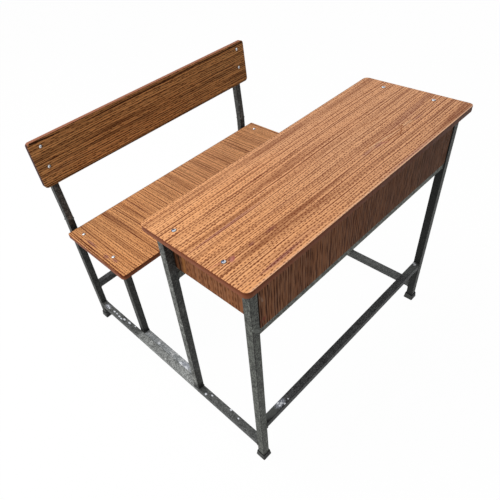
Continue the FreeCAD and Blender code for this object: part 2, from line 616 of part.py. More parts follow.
# Hidden screws: up through the shelf rails into the wood, and out through the side panels.
POINTING_UP = FreeCAD.Rotation(X_LINE, 180)
ALONG_RAIL = (("X_Axis", len(THREE_PLACES), "2 * %s" % RAIL_SCREW_PITCH),)
for label, line_depth in (("front_panel_screws", FRONT_SCREW_LINE),
                          ("shelf_screws", "desk_depth - tube_side / 2")):
    fastener_group(label, POINTING_UP, ("-" + RAIL_SCREW_PITCH, line_depth, "shelf_rail_top - tube_side"),
                   screw_outline("(tube_side + screw_bite)"), ALONG_RAIL)
for side, sign in SIDES:
    turn = FreeCAD.Rotation(Y_LINE, 90 if side == "left" else -90)
    fastener_group("panel_screws_" + side, turn,
                   ("%s * %s" % (sign, SHELF_HALF), PANEL_SCREWS[0], PANEL_SCREW_HEIGHT),
                   screw_outline("(panel_thick + panel_screw_reach)"),
                   (("Y_Axis", len(THREE_PLACES), "2 * %s" % PANEL_SCREW_PITCH),))

# ---------------------------------------------------------------- check every object, then write
doc.recompute()
for thing in doc.Objects:
    if "Invalid" in thing.State or "Error" in thing.State:
        raise RuntimeError("%s failed to compute" % thing.Label)
for piece in pieces:
    if piece.Shape.isNull() or not piece.Shape.isValid() or not piece.Shape.Solids:
        raise RuntimeError("%s has no valid shape" % piece.Label)

os.makedirs("parts", exist_ok=True)
for piece in pieces:
    piece.Shape.exportStep("parts/%s.step" % piece.Label)
    print("%-24s %d solid(s), %9.0f cubic mm" % (piece.Label, len(piece.Shape.Solids), piece.Shape.Volume))
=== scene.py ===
import math
import bpy
from mathutils import Matrix, Vector


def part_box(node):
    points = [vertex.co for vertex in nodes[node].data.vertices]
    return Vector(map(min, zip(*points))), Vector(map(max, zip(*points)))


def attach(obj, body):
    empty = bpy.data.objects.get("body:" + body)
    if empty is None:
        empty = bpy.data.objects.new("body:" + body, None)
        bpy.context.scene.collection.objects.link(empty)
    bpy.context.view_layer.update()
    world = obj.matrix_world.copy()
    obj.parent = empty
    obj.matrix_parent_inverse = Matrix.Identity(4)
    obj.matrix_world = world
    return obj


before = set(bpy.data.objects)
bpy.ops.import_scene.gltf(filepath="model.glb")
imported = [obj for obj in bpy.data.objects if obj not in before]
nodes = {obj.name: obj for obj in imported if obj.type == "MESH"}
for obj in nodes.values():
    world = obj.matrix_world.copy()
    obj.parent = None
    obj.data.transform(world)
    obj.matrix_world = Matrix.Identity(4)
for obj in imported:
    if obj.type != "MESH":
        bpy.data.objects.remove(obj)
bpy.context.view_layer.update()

# ---------------------------------------------------------------- the welded frame
# Square steel tube, cut to length, welded into two end frames and joined by rails across. It is brushed
# with a thin dark grey paint that mottles like hammered paint, and shoes and floors have worn it through
# to bright metal on the low rails.


class Wire:
    """A value inside a material. Arithmetic on it adds Math nodes."""

    def __init__(self, finish, socket):
        self.finish = finish
        self.socket = socket

    def sum(self, operation, *values):
        return self.finish.node("ShaderNodeMath", {"operation": operation}, dict(enumerate(values)))

    def __add__(self, other):
        return self.sum("ADD", self, other)

    def __sub__(self, other):
        return self.sum("SUBTRACT", self, other)

    def __rsub__(self, other):
        return self.sum("SUBTRACT", other, self)

    def __mul__(self, other):
        return self.sum("MULTIPLY", self, other)

    def __truediv__(self, other):
        return self.sum("DIVIDE", self, other)

    def __abs__(self):
        return self.sum("ABSOLUTE", self)

    def over(self, other):
        return self.sum("MAXIMUM", self, other)

    def root(self):
        return self.sum("SQRT", self)

    def whole(self):
        return self.sum("FLOOR", self)

    def step(self, low, high):
        """0 below low and 1 above high, with a smooth change between them."""
        return self.finish.node("ShaderNodeMapRange", {"interpolation_type": "SMOOTHSTEP"},
                                {"Value": self, "From Min": low, "From Max": high})

    def line(self, sharpness):
        """1 where this value is a half, falling to 0 on both sides: a thin contour line."""
        return self.finish.node("ShaderNodeClamp", {}, {0: 1.0 - abs(self - 0.5) * sharpness})

    __radd__ = __add__
    __rmul__ = __mul__


class Finish:
    """One material, with the few ways of adding nodes to it."""

    def __init__(self, name, shine=0.25):
        self.material = bpy.data.materials.new(name)
        self.material.use_nodes = True
        self.tree = self.material.node_tree
        self.shader = self.tree.nodes["Principled BSDF"]
        self.shader.inputs["Specular IOR Level"].default_value = shine
        place = self.node("ShaderNodeTexCoord", {}, {}, "Object")
        self.x, self.y, self.z = (self.node("ShaderNodeSeparateXYZ", {}, {0: place}, axis)
                                  for axis in range(3))

    def fill(self, node, key, value):
        if isinstance(value, Wire):
            self.tree.links.new(value.socket, node.inputs[key])
        elif isinstance(value, (tuple, list)) and len(value) == 3 and node.inputs[key].type == "RGBA":
            node.inputs[key].default_value = (*value, 1)
        else:
            node.inputs[key].default_value = value

    def node(self, kind, settings, values, out=0):
        added = self.tree.nodes.new(kind)
        for setting, value in settings.items():
            setattr(added, setting, value)
        for key, value in values.items():
            self.fill(added, key, value)
        return Wire(self, added.outputs[out])

    def noise(self, x, y, z, detail=2.0, rough=0.5):
        place = self.node("ShaderNodeCombineXYZ", {}, {0: x, 1: y, 2: z})
        return self.node("ShaderNodeTexNoise", {},
                         {"Vector": place, "Scale": 1.0, "Detail": detail, "Roughness": rough})

    def speckle(self, scale, detail=2.0, rough=0.5):
        """The same noise in all directions, scale lumps to the metre."""
        return self.noise(self.x * scale, self.y * scale, self.z * scale, detail, rough)

    def chance(self, *places):
        """An even random number from 0 to 1 for each set of whole numbers."""
        place = self.node("ShaderNodeCombineXYZ", {}, dict(enumerate(places)))
        return self.node("ShaderNodeTexWhiteNoise", {"noise_dimensions": "3D"}, {"Vector": place})

    def mix(self, share, first, second):
        return self.node("ShaderNodeMix", {"data_type": "RGBA"}, {0: share, 6: first, 7: second}, 2)

    def shade(self, colour, amount):
        """A colour made darker or lighter by a changing amount."""
        grey = self.node("ShaderNodeCombineXYZ", {}, {0: amount, 1: amount, 2: amount})
        return self.node("ShaderNodeVectorMath", {"operation": "MULTIPLY"}, {0: colour, 1: grey})

    def near(self, centre, reach, ragged=0.0, seed_scale=220):
        """1 at a centre and 0 beyond its reach along x, y and z, with a ragged rim."""
        gaps = [(axis - middle) / size for axis, middle, size in zip((self.x, self.y, self.z), centre, reach)]
        distance = (gaps[0] * gaps[0] + gaps[1] * gaps[1] + gaps[2] * gaps[2]).root()
        if ragged:
            distance = distance + (self.speckle(seed_scale, 3.0) - 0.5) * ragged
        return 1.0 - distance.step(0.55, 1.0)

    def stroke(self, across, up, points, width):
        """1 along a line through the points, which are measured on two directions, and 0 past its width."""
        mark = None
        for start, stop in zip(points, points[1:]):
            run = (stop[0] - start[0], stop[1] - start[1])
            length = run[0] * run[0] + run[1] * run[1]
            gap_across, gap_up = across - start[0], up - start[1]
            share = self.node("ShaderNodeClamp", {}, {0: (gap_across * run[0] + gap_up * run[1]) / length})
            gap_across, gap_up = gap_across - share * run[0], gap_up - share * run[1]
            part = 1.0 - (gap_across * gap_across + gap_up * gap_up).root().step(0.35 * width, width)
            mark = part if mark is None else mark.over(part)
        return mark

    def rounded_corner(self):
        """1 on the rounding between two flat faces, where the outward direction lies between two axes."""
        outward = self.node("ShaderNodeTexCoord", {}, {}, "Normal")
        lean_x, lean_y, lean_z = (abs(self.node("ShaderNodeSeparateXYZ", {}, {0: outward}, axis))
                                  for axis in range(3))
        return (lean_x * lean_y + lean_y * lean_z + lean_x * lean_z).step(0.15, 0.42)

    def finish(self, colour, roughness, metallic=None, height=None, depth=0.0005, strength=0.6):
        self.fill(self.shader, "Base Color", colour)
        self.fill(self.shader, "Roughness", roughness)
        if metallic is not None:
            self.fill(self.shader, "Metallic", metallic)
        if height is not None:
            relief = self.node("ShaderNodeBump", {},
                               {"Height": height, "Distance": depth, "Strength": strength})
            self.fill(self.shader, "Normal", relief)
        return self.material


def dress(material, *names):
    for name in names:
        for place in nodes[name].material_slots:
            place.material = material


def both_sides(*names):
    return [name + side for name in names for side in ("_left", "_right")]


SPLASH_REACH = 0.015
SPLASH_BLUE = (0.230, 0.250, 0.340)
BARE_METAL = (0.90, 0.93, 0.98)


def tube_paint(name, dark, grey, worn, bright_spots=(), pale=None, stains=(), shaded_faces=None, corner=0.75,
               mottle=1.30):
    """Mottled grey paint. worn is the share that is rubbed light. bright_spots are bare flecks, and splashes
    where they reach past SPLASH_REACH. pale is a stretch of the depth that is worn all over, and stains are
    places of another colour. The faces towards the low end of a given axis are painted darker, as painted
    shade, by a given share. corner is how dark the line along a tube's corners is, and mottle how strong
    the light and dark of the lumps."""
    paint = Finish(name)
    patches = paint.speckle(70, 4.0, 0.62).step(0.36, 0.66)
    lumps = paint.speckle(210, 3.0, 0.6)
    flecks = paint.speckle(330, 2.0).step(0.58, 0.68)
    colour = paint.mix(patches, dark, grey)
    colour = paint.shade(colour, 1.0 - mottle / 2 + lumps.step(0.36, 0.64) * mottle)
    rubbed = (paint.speckle(38, 5.0, 0.7) + paint.speckle(160, 3.0) * 0.35).step(0.86 - worn, 1.04 - worn)
    bare = [min(1.0, 2.4 * level + 0.05) for level in grey]
    colour = paint.mix(rubbed * 0.8, colour, bare)
    colour = paint.mix(flecks * 0.5, colour, bare)
    # Painted shade: faces turned towards the low end of the given axis are made darker.
    if shaded_faces:
        axis, share = shaded_faces
        outward = paint.node("ShaderNodeTexCoord", {}, {}, "Normal")
        turned = (0.0 - paint.node("ShaderNodeSeparateXYZ", {}, {0: outward}, axis)).step(0.6, 0.8)
        colour = paint.shade(colour, 1.0 - turned * share)
    if pale:
        front_end, rear_end = pale
        stretch = paint.y.step(front_end - 0.01, front_end + 0.01) * (
            1.0 - paint.y.step(rear_end - 0.01, rear_end + 0.01))
        colour = paint.shade(colour, 1.0 + stretch * 1.9)
    for centre, reach, shade in stains:
        colour = paint.mix(paint.near(centre, reach, ragged=0.8) * 0.9, colour, shade)
    splash = bright = flecks * 0.0
    for centre, reach in bright_spots:
        if max(reach) > SPLASH_REACH:
            splash = splash.over(paint.near(centre, reach, ragged=1.0, seed_scale=380))
        else:
            bright = bright.over(paint.near(centre, reach, ragged=0.6, seed_scale=380))
    colour = paint.mix(splash * 0.45, colour, SPLASH_BLUE)
    bright = bright.over(splash * paint.speckle(430, 2.0).step(0.52, 0.62))
    colour = paint.mix(bright, colour, BARE_METAL)
    colour = paint.shade(colour, 1.0 - paint.rounded_corner() * corner)
    rough = 0.62 - rubbed * 0.18 - bright * 0.22
    return paint.finish(colour, rough, rubbed * 0.35, lumps * 0.6 + patches * 0.4 - flecks * 0.2,
                        depth=0.0008, strength=0.55)


def foot_of(name):
    """The middle of a leg's lower end."""
    low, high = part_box(name)
    return (low.x + high.x) / 2, (low.y + high.y) / 2, low.z


def spots_on(height, *rows):
    """Spots on a rail's upper face, from rows of x, y and how far each spot reaches along x, y and z."""
    return [((x, y, height), reach) for x, y, *reach in rows]


RAIL_TOP = 0.077
STRETCHER_TOP = 0.181
# Black patches where the legs stand on the base rails, and at the front stretcher's left end beside the leg.
JOINT_BLACK_REACH = (0.030, 0.030, 0.034)
JOINT_BLACK = (0.006, 0.006, 0.006)
desk_leg_foot = foot_of("desk_rear_leg_left")
bench_leg_foot = foot_of("bench_front_leg_left")
desk_paint = tube_paint("desk_leg_paint", (0.066, 0.070, 0.061), (0.162, 0.170, 0.150), 0.10)
# Painted light and shade: the rear left leg is a lighter grey than the front one, and its -Y faces are
# darker.
rear_leg_paint = tube_paint("rear_leg_paint", (0.080, 0.084, 0.076), (0.215, 0.222, 0.205), 0.14,
                            stains=[(desk_leg_foot, JOINT_BLACK_REACH, JOINT_BLACK)], shaded_faces=(1, 0.60))
# Painted shade: the far legs and the top's right and rear rails are a darker grey, and their -X faces are
# darker still.
far_leg_paint = tube_paint("far_leg_paint", (0.034, 0.036, 0.033), (0.098, 0.103, 0.095), 0.05,
                           shaded_faces=(0, 0.80))
# Painted shade: the bench's faces turned towards -Y are darker.
bench_paint = tube_paint("bench_leg_paint", (0.030, 0.031, 0.028), (0.080, 0.083, 0.076), 0.04,
                         stains=[(bench_leg_foot, JOINT_BLACK_REACH, JOINT_BLACK)], shaded_faces=(1, 0.35))
shelf_paint = tube_paint("shelf_rail_paint", (0.120, 0.127, 0.110), (0.235, 0.245, 0.215), 0.06)
upright_paint = tube_paint("upright_paint", (0.034, 0.036, 0.034), (0.100, 0.104, 0.100), 0.12)
rail_spots = spots_on(RAIL_TOP,
                      (-0.4140, 0.369, 0.0090, 0.018, 0.006), (-0.4125, 0.371, 0.0035, 0.007, 0.006),
                      (-0.4165, 0.358, 0.0030, 0.006, 0.006), (-0.4130, 0.328, 0.0035, 0.007, 0.006),
                      (-0.4127, 0.312, 0.0030, 0.006, 0.006), (-0.4150, 0.294, 0.0038, 0.007, 0.006),
                      (-0.4164, 0.280, 0.0030, 0.007, 0.006), (-0.4108, 0.267, 0.0040, 0.008, 0.006),
                      (-0.4081, 0.239, 0.0040, 0.009, 0.006), (-0.4034, 0.208, 0.0030, 0.005, 0.006),
                      (-0.4180, -0.185, 0.0050, 0.005, 0.006), (-0.4080, -0.204, 0.0030, 0.005, 0.006),
                      (-0.4030, -0.282, 0.0040, 0.005, 0.006), (-0.4080, -0.318, 0.0030, 0.004, 0.006))
link_spots = spots_on(RAIL_TOP,
                      (-0.3921, 0.083, 0.0055, 0.007, 0.006), (-0.3952, -0.037, 0.0050, 0.009, 0.006),
                      (-0.3950, -0.064, 0.0050, 0.010, 0.006), (-0.3890, -0.055, 0.0120, 0.026, 0.012))
stretcher_spots = spots_on(STRETCHER_TOP,
                           (-0.329, -0.4170, 0.022, 0.0120, 0.008), (-0.327, -0.4190, 0.006, 0.0045, 0.006),
                           (-0.335, -0.4205, 0.005, 0.0040, 0.006), (-0.333, -0.4115, 0.005, 0.0040, 0.006),
                           (-0.321, -0.4265, 0.004, 0.0035, 0.006), (-0.303, -0.4240, 0.003, 0.0030, 0.006),
                           (0.396, -0.4100, 0.008, 0.0070, 0.006), (0.389, -0.4180, 0.006, 0.0050, 0.006))
stretcher_stains = [((-0.372, -0.416, STRETCHER_TOP), (0.040, 0.018, 0.006), (0.105, 0.110, 0.105)),
                    ((-0.372, -0.430, 0.158), (0.044, 0.008, 0.011), (0.130, 0.136, 0.128)),
                    ((-0.390, -0.430, 0.174), (0.032, 0.012, 0.011), JOINT_BLACK),
                    ((0.372, -0.416, STRETCHER_TOP), (0.060, 0.022, 0.030), (0.135, 0.142, 0.138))]
base_paint = tube_paint("base_rail_paint", (0.080, 0.083, 0.080), (0.130, 0.134, 0.130), 0.06, rail_spots,
                        pale=(desk_leg_foot[1], bench_leg_foot[1]), corner=0.30, mottle=0.90)
link_paint = tube_paint("link_rail_paint", (0.245, 0.262, 0.268), (0.400, 0.422, 0.432), 0.16, link_spots,
                        corner=0.25, mottle=0.55)
stretcher_paint = tube_paint("stretcher_paint", (0.030, 0.030, 0.031), (0.078, 0.080, 0.081), 0.04,
                             stretcher_spots, stains=stretcher_stains)
dress(desk_paint, "desk_front_leg_left", "top_side_rail_left")
dress(rear_leg_paint, "desk_rear_leg_left")
dress(far_leg_paint, "desk_front_leg_right", "desk_rear_leg_right", "top_side_rail_right", "top_rear_rail")
dress(bench_paint, *both_sides("bench_front_leg", "bench_rear_leg", "seat_side_rail"),
      "seat_front_rail", "seat_rear_rail")
dress(upright_paint, *both_sides("backrest_upright"))
dress(shelf_paint, "shelf_front_rail", "shelf_rear_rail")
dress(base_paint, *both_sides("base_rail"))
dress(link_paint, *both_sides("link_rail"))
dress(stretcher_paint, "front_stretcher", "bench_stretcher")

# ---------------------------------------------------------------- weld beads
# Every joint of the frame is arc welded by hand around the end of the tube. The beads are rows of small
# overlapping lumps, painted over with the frame, and they are left out where a board covers the joint.
BEAD_RADIUS = 0.0021
BEAD_PITCH = 0.0034
TUBE_CORNER = 0.002
LOW_END, HIGH_END = 0, 1
SQUARE = ((0, 0), (1, 0), (1, 1), (0, 1))


def seam_around_end(name, end, covered_top):
    """The sides of the seam around one end of a tube, each a start and a stop, with the tube's corners cut.
    Where a board covers the tube's upper side, that side is left out."""
    low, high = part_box(name)
    length = high - low
    along = max(range(3), key=lambda axis: length[axis])
    across = [axis for axis in range(3) if axis != along]
    points = []
    for here, ahead in zip(SQUARE, SQUARE[1:] + SQUARE[:1]):
        for corner, other in ((here, ahead), (ahead, here)):
            point = Vector((0.0, 0.0, 0.0))
            point[along] = (low, high)[end][along]
            for axis, share, toward in zip(across, corner, other):
                point[axis] = low[axis] + share * length[axis] + TUBE_CORNER * (toward - share)
            points.append(point)
    return [(start, stop) for start, stop in zip(points, points[1:] + points[:1])
            if not (covered_top and min(start.z, stop.z) > high.z - TUBE_CORNER * 1.5)]


seams = []
for names, ends, covered_top in (
        (both_sides("base_rail"), (LOW_END, HIGH_END), False),
        (both_sides("desk_rear_leg", "bench_front_leg"), (LOW_END,), False),
        (both_sides("link_rail"), (HIGH_END,), False),
        (both_sides("top_side_rail", "seat_side_rail"), (LOW_END, HIGH_END), True),
        (("shelf_front_rail", "shelf_rear_rail", "top_rear_rail", "seat_front_rail", "seat_rear_rail"),
         (LOW_END, HIGH_END), True),
        (("front_stretcher", "bench_stretcher"), (LOW_END, HIGH_END), False),
        (both_sides("bench_rear_leg"), (HIGH_END,), False)):
    for name in names:
        for end in ends:
            seams += seam_around_end(name, end, covered_top)

# One thick run of weld slants across the front left leg, beside the shelf's front rail.
leg_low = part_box("desk_front_leg_left")[0]
rail_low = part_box("shelf_front_rail")[0]
lump_start = Vector((leg_low.x + 0.001, leg_low.y, rail_low.z + 0.043))
lump_stop = Vector((leg_low.x + 0.0225, leg_low.y, rail_low.z + 0.021))
for rise, trim in ((-0.005, 0.30), (-0.0025, 0.10), (0.0, 0.0), (0.0025, 0.08), (0.005, 0.26)):
    raised = Vector((0.0, 0.0, rise))
    seams.append((lump_start.lerp(lump_stop, trim) + raised, lump_stop.lerp(lump_start, trim) + raised))

seam_mesh = bpy.data.meshes.new("seams")
seam_mesh.from_pydata([point for side in seams for point in side],
                      [(2 * index, 2 * index + 1) for index in range(len(seams))], [])
seam_lines = bpy.data.objects.new("seams", seam_mesh)
bpy.context.scene.collection.objects.link(seam_lines)


class NodeTree:
    """A Geometry Nodes tree with named inputs."""

    def __init__(self, name, inputs):
        self.tree = bpy.data.node_groups.new(name, "GeometryNodeTree")
        self.tree.interface.new_socket("Geometry", in_out="INPUT", socket_type="NodeSocketGeometry")
        self.tree.interface.new_socket("Geometry", in_out="OUTPUT", socket_type="NodeSocketGeometry")
        self.keys = {}
        for label, kind in inputs:
            socket = self.tree.interface.new_socket(label, in_out="INPUT", socket_type=kind)
            self.keys[label] = socket.identifier
        self.source = self.tree.nodes.new("NodeGroupInput")
        self.result = self.tree.nodes.new("NodeGroupOutput")

    def node(self, kind, settings, values, out=0):
        added = self.tree.nodes.new(kind)
        for setting, value in settings.items():
            setattr(added, setting, value)
        for key, value in values.items():
            if isinstance(value, bpy.types.NodeSocket):
                self.tree.links.new(value, added.inputs[key])
            else:
                added.inputs[key].default_value = value
        return added.outputs[out]

    def given(self, label):
        return self.source.outputs[label]

    def end(self, geometry):
        self.tree.links.new(geometry, self.result.inputs[0])

    def make(self, holder, name, values):
        """Run the tree on an object, and turn what it gives into a plain mesh object."""
        run = holder.modifiers.new(name, "NODES")
        run.node_group = self.tree
        for label, value in values.items():
            run[self.keys[label]] = value
        bpy.context.view_layer.update()
        shape = holder.evaluated_get(bpy.context.evaluated_depsgraph_get())
        mesh = bpy.data.meshes.new_from_object(shape)
        holder.modifiers.remove(run)
        bpy.data.objects.remove(holder)
        piece = bpy.data.objects.new(name, mesh)
        bpy.context.scene.collection.objects.link(piece)
        return piece


beading = NodeTree("weld_beading", [("Bead Radius", "NodeSocketFloat"), ("Pitch", "NodeSocketFloat"),
                                    ("Seed", "NodeSocketInt"), ("Paint", "NodeSocketMaterial")])
rows = beading.node("GeometryNodeMeshToCurve", {}, {0: beading.given("Geometry")})
rows = beading.node("GeometryNodeResampleCurve", {"mode": "LENGTH"}, {"Curve": rows,
                                                                     "Length": beading.given("Pitch")})
lump = beading.node("GeometryNodeMeshIcoSphere", {}, {"Radius": beading.given("Bead Radius"),
                                                      "Subdivisions": 2})
swell = beading.node("FunctionNodeRandomValue", {"data_type": "FLOAT_VECTOR"},
                     {0: (0.70, 0.70, 0.70), 1: (1.25, 1.25, 1.25), "Seed": beading.given("Seed")})
lumps = beading.node("GeometryNodeInstanceOnPoints", {}, {"Points": rows, "Instance": lump, "Scale": swell})
lumps = beading.node("GeometryNodeRealizeInstances", {}, {0: lumps})
lumps = beading.node("GeometryNodeSetShadeSmooth", {}, {0: lumps})
beading.end(beading.node("GeometryNodeSetMaterial", {}, {0: lumps, "Material": beading.given("Paint")}))

weld = Finish("weld_paint", shine=0.35)
crust = weld.speckle(420, 3.0, 0.6)
soot = weld.speckle(60, 3.0).step(0.4, 0.65)
weld_grey = weld.mix(soot, (0.040, 0.041, 0.039), (0.130, 0.134, 0.126))
weld_grey = weld.mix(weld.near((lump_start + lump_stop) / 2, (0.040, 0.012, 0.040)) * 0.9, weld_grey,
                     (0.270, 0.285, 0.260))
weld_paint = weld.finish(weld_grey, 0.42 + crust * 0.3, None, crust, depth=0.0006)
weld_beads = beading.make(seam_lines, "weld_beads", {"Bead Radius": BEAD_RADIUS, "Pitch": BEAD_PITCH,
                                                    "Seed": 7, "Paint": weld_paint})
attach(weld_beads, "root")

# ---------------------------------------------------------------- foot caps
# Moulded black rubber ferrules, pushed onto the four legs that reach the floor. They are matt, scuffed
# grey around the foot and dusty at the rim, and they carry painted light on their sides facing -X.
rubber = Finish("foot_cap_rubber", shine=0.3)
grit = rubber.speckle(900, 3.0)
outward = rubber.node("ShaderNodeTexCoord", {}, {}, "Normal")
sideways = 0.0 - rubber.node("ShaderNodeSeparateXYZ", {}, {0: outward}, 0)
# Painted light: the sides facing -X are lighter, mixed in with the dust.
dust_and_lit_side = (rubber.speckle(120, 4.0, 0.65) + sideways.step(0.5, 0.8) * 0.30 - rubber.z * 3.0).step(0.42, 0.66)
cap_rubber = rubber.finish(rubber.mix(dust_and_lit_side, (0.009, 0.009, 0.010), (0.082, 0.085, 0.080)),
                           0.55 + grit * 0.3, None, grit, depth=0.0004)
dress(cap_rubber, *both_sides("foot_cap_desk", "foot_cap_bench"))

# ---------------------------------------------------------------- desktop
# One 17 mm board faced with printed wood laminate, its grain along the desk, with rounded corners and a
# maroon painted edge. The print is orange-brown teak: long dark lines, rows of short dark pores, a small
# pointed flame and some mauve smears.
TEAK = ((0.990, 0.492, 0.222), (0.825, 0.322, 0.106), (0.125, 0.012, 0.000))
PALE_RIM = (1.000, 0.660, 0.410)
FAR_SHADE_PINK = (0.620, 0.350, 0.230)
MAUVE = (0.330, 0.120, 0.105)
EDGE_MAROON = ((0.230, 0.058, 0.019), (0.355, 0.122, 0.060))
END_MAROON = (0.070, 0.026, 0.022)
HIGHLIGHT_AND_WORN_RIM = (1.000, 0.620, 0.400)
UNDER_BROWN = (0.170, 0.095, 0.060)
RIM = 0.0007


def printed_lines(wood, along, across, pitch, seed):
    """Long thin grain lines about a pitch apart, each of its own strength, and the light rims beside them."""
    wavy = (wood.noise(along * 1.1, across * 32.0, seed, 2.0) - 0.5) * 1.8
    place = across * (1.0 / pitch) + wavy
    row = place.whole()
    off = abs(place - row - 0.5 + (wood.chance(row, seed, 3.0) - 0.5) * 0.45)
    strength = wood.chance(row, seed, 4.0).step(0.05, 0.95) * 0.70 + 0.25
    come_and_go = wood.noise(along * 9.0, row * 3.7, seed + 2.0, 1.0).step(0.25, 0.62)
    dark = (1.0 - (off - strength * 0.05).step(0.05, 0.19)) * strength * (come_and_go * 0.55 + 0.45)
    light = off.step(0.20, 0.28) * (1.0 - off.step(0.32, 0.44)) * come_and_go
    return dark, light


def printed_pores(wood, along, across, pitch, length, gap, seed):
    """Fine pores that crowd into short tapered dashes, in rows a pitch apart, each of its own strength."""
    wavy = (wood.noise(along * 2.0, across * 36.0, seed, 2.0) - 0.5) * 1.1
    place = across * (1.0 / pitch) + wavy
    row = place.whole()
    run = along * (1.0 / length) + wood.chance(row, seed, 1.0) * 9.0
    dash = run.whole()
    off_row = place - row - 0.5 + (wood.chance(row, dash, seed + 1.0) - 0.5) * 0.34
    off_dash = run - dash - 0.5 + (wood.chance(dash, row, seed + 2.0) - 0.5) * 0.26
    tapered = (off_row * off_row * 8.5 + off_dash * off_dash * 4.2).root()
    on_row = 1.0 - abs(off_row).step(0.10, 0.34)
    crowded = (1.0 - tapered.step(0.34, 0.95)) * gap + on_row * (1.0 - gap)
    single = wood.noise(along * 150.0, across * 1100.0, seed + 3.0, 1.0)
    strength = wood.chance(row, dash, seed).step(-0.30, 0.60)
    return (crowded * strength * (single.step(0.34, 0.52) * 0.35 + 0.65)).over(single.step(0.58, 0.72) * 0.45)


def laminate(wood, along, across, through, thick, seed, print_colours=TEAK, marks=(), smears=(),
             line_pitch=0.0092, line=0.90, pitch=0.0058, length=0.0100, gap=0.85, pore=1.0, rim=0.18,
             vein_scale=26, vein=0.7, band=0.16, stain=0.35, edge=EDGE_MAROON, dark_ends=None, rim_highlight_and_wear=None,
             painted_far_shade=None, darker=None, darker_edge=None):
    """Printed wood on a board: along and across the grain, and through from its back to its face. marks are
    strokes of another colour and smears are soft mauve patches. line, pore, rim, vein, band and stain say
    how strong each part of the print is. pitch and length are those of the rows of pores, and gap is how
    clearly they part into dashes. edge is two colours, one under the face and one near the back. dark_ends
    darkens the ends of the edge, and darker and darker_edge darken the face and the edge. Two more masks lay
    a pale rim, partly painted highlight and partly wear, and paint the face darker and pinker as painted
    shade."""
    light, middle, dark = print_colours
    wander = wood.noise(along * 1.6, across * 5.0, seed, 2.0)
    bent = across + (wander - 0.5) * 0.022
    bands = wood.noise(along * 0.8, bent * 30, seed + 9.4, 2.0, 0.5).step(0.30, 0.66)
    hue = wood.noise(along * 2.2, across * 7.0, seed + 40.0, 2.0)
    ragged = wood.noise(along * 1.4, bent * 160, seed + 3.1, 2.0, 0.55)
    vein_line = wood.noise(along * 0.5, bent * vein_scale, seed + 5.7, 1.0, 0.5).line(16)
    fade = wood.noise(along * 4.0, across * 34, seed + 12.0, 1.0).step(0.32, 0.58)
    lines, rims = printed_lines(wood, along, bent, line_pitch, seed + 60.0)
    pores = printed_pores(wood, along, bent, pitch, length, gap, seed)
    stained = wood.noise(along * 1.8, bent * 17, seed + 17.0, 2.0, 0.6).step(0.60, 0.74)
    colour = wood.mix(bands * band + (0.95 - band), middle, light)
    colour = wood.mix(hue.step(0.35, 0.75) * 0.25, colour, middle)
    colour = wood.mix(stained * stain, colour, MAUVE)
    for centre, reach in smears:
        gaps = [(axis - middle_place) / size for axis, middle_place, size
                in zip((wood.x, wood.y), centre, reach)]
        distance = (gaps[0] * gaps[0] + gaps[1] * gaps[1]).root() + (ragged - 0.5) * 0.9
        colour = wood.mix((1.0 - distance.step(0.20, 1.10)) * 0.78, colour, MAUVE)
    # Painted shade: where this mask is high the face is darker and pinker.
    if painted_far_shade:
        colour = wood.mix(painted_far_shade * 0.40, colour, FAR_SHADE_PINK)
    rim_colour = [min(1.0, level * pale / teak) for level, pale, teak in zip(light, PALE_RIM, TEAK[0])]
    colour = wood.mix(rims * rim, colour, rim_colour)
    colour = wood.mix((ragged.step(0.50, 0.74) * 0.22).over(pores * pore), colour, dark)
    colour = wood.mix((lines * line).over(vein_line * (fade * 0.6 + 0.4) * vein), colour, dark)
    for first, second, points, width, shade, share in marks:
        drawn = wood.stroke(first, second, points, width)
        colour = wood.mix(drawn * ragged.step(0.30, 0.55) * share, colour, shade)
    on_face = through.step(thick - RIM, thick - 0.4 * RIM)
    on_back = 1.0 - through.step(0.4 * RIM, RIM)
    rubbed = wood.speckle(90, 4.0, 0.65)
    under_face, near_back = edge
    edging = wood.mix(through.step(0.30 * thick, 0.85 * thick), near_back, under_face)
    edging = wood.mix(rubbed.step(0.45, 0.75) * 0.30, edging, near_back)
    if dark_ends:
        edging = wood.mix(dark_ends, edging, END_MAROON)
    if darker_edge:
        edging = wood.shade(edging, 1.0 - darker_edge)
    # A pale rim, partly painted highlight on the rounded edge and partly worn laminate.
    if rim_highlight_and_wear:
        colour = wood.mix(rim_highlight_and_wear * (0.22 + ragged * 0.6), colour, HIGHLIGHT_AND_WORN_RIM)
    if darker:
        colour = wood.shade(colour, 1.0 - darker)
    backing = wood.shade(UNDER_BROWN, 0.86 + rubbed.step(0.35, 0.70) * 0.24 - ragged.step(0.45, 0.70) * 0.20)
    colour_all = wood.mix(on_back, edging, backing)
    colour_all = wood.mix(on_face, colour_all, colour)
    rough = 0.48 + pores * 0.12 + (rubbed - 0.5) * 0.18
    return wood.finish(colour_all, rough, None, (pores + lines) * on_face * -1.0 + rubbed * 0.15,
                       depth=0.00025, strength=0.4)


